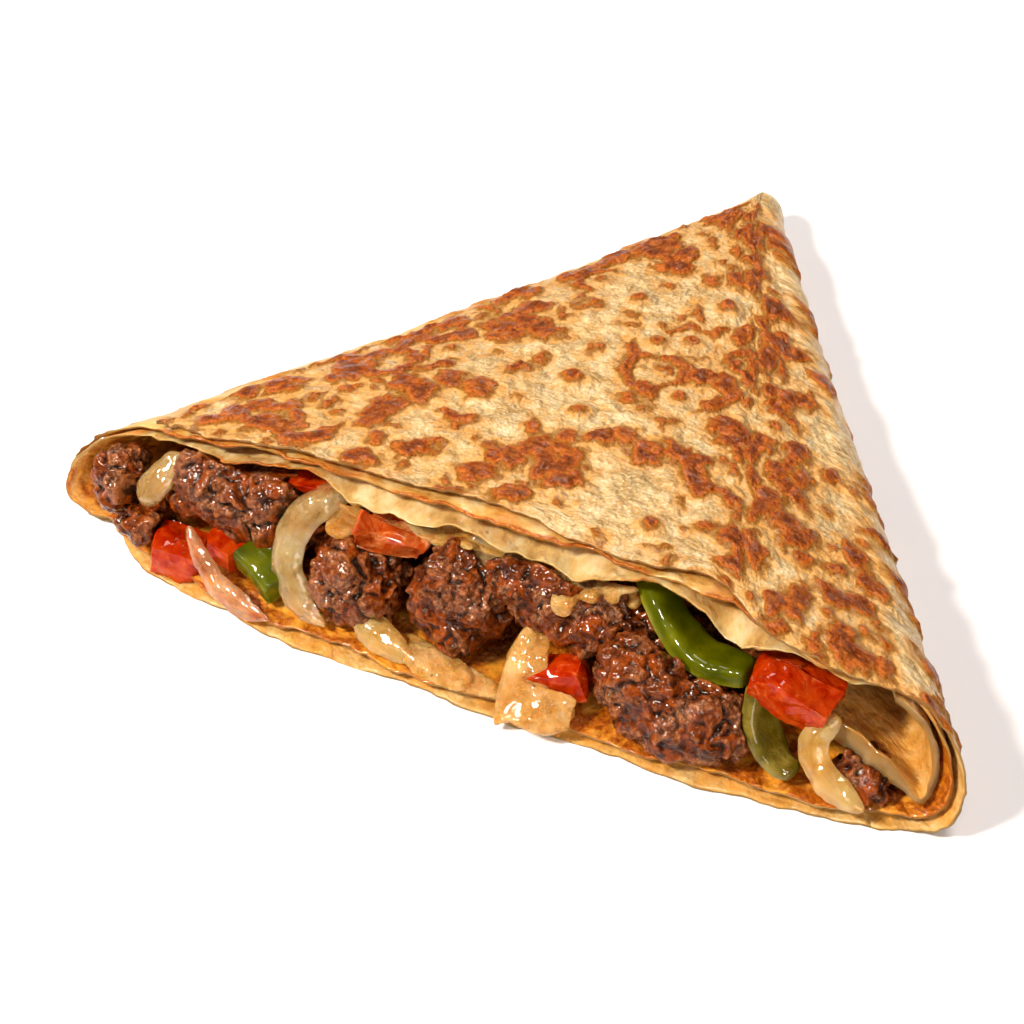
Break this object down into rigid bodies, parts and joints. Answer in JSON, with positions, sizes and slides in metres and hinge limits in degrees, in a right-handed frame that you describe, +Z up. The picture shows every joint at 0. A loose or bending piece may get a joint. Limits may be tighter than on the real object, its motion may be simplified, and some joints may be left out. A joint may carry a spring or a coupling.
{
  "type": "savory crepe",
  "caption": "Round crepe folded into a wedge of several layers, browned outside, with meat, pepper, tomato, onion and cheese at its open front.",
  "frame": {"origin": "middle of the bounding box, on the surface that the crepe lies on", "axes": "+X across the open front from the left fold to the right one, seen from the front; +Y from the open front to the wedge's tip; +Z up"},
  "size_m": [0.2074, 0.1784, 0.0359],
  "materials": {
    "crepe": "soft pale batter with browned blotches, slightly greasy",
    "filling": "dark moist mass of meat and melted cheese",
    "meat": "browned, moist and crumbly",
    "tomato": "wet cut flesh",
    "pepper": "wet, cooked green skin and flesh",
    "onion": "translucent, cooked soft and wet",
    "cheese": "melted and smooth"
  },
  "bodies": {
    "root": {"crepe": "crepe", "filling_core": "filling", "cheese_1": "cheese", "cheese_2": "cheese", "cheese_3": "cheese", "meat_1": "meat", "meat_2": "meat", "meat_3": "meat", "meat_4": "meat", "meat_5": "meat", "meat_6": "meat", "meat_7": "meat", "meat_8": "meat", "onion_1": "onion", "onion_2": "onion", "onion_3": "onion", "onion_4": "onion", "onion_5": "onion", "onion_6": "onion", "pepper_1": "pepper", "pepper_2": "pepper", "pepper_3": "pepper", "tomato_1": "tomato", "tomato_2": "tomato", "tomato_3": "tomato", "tomato_4": "tomato", "tomato_5": "tomato", "tomato_6": "tomato"}
  },
  "joints": []
}
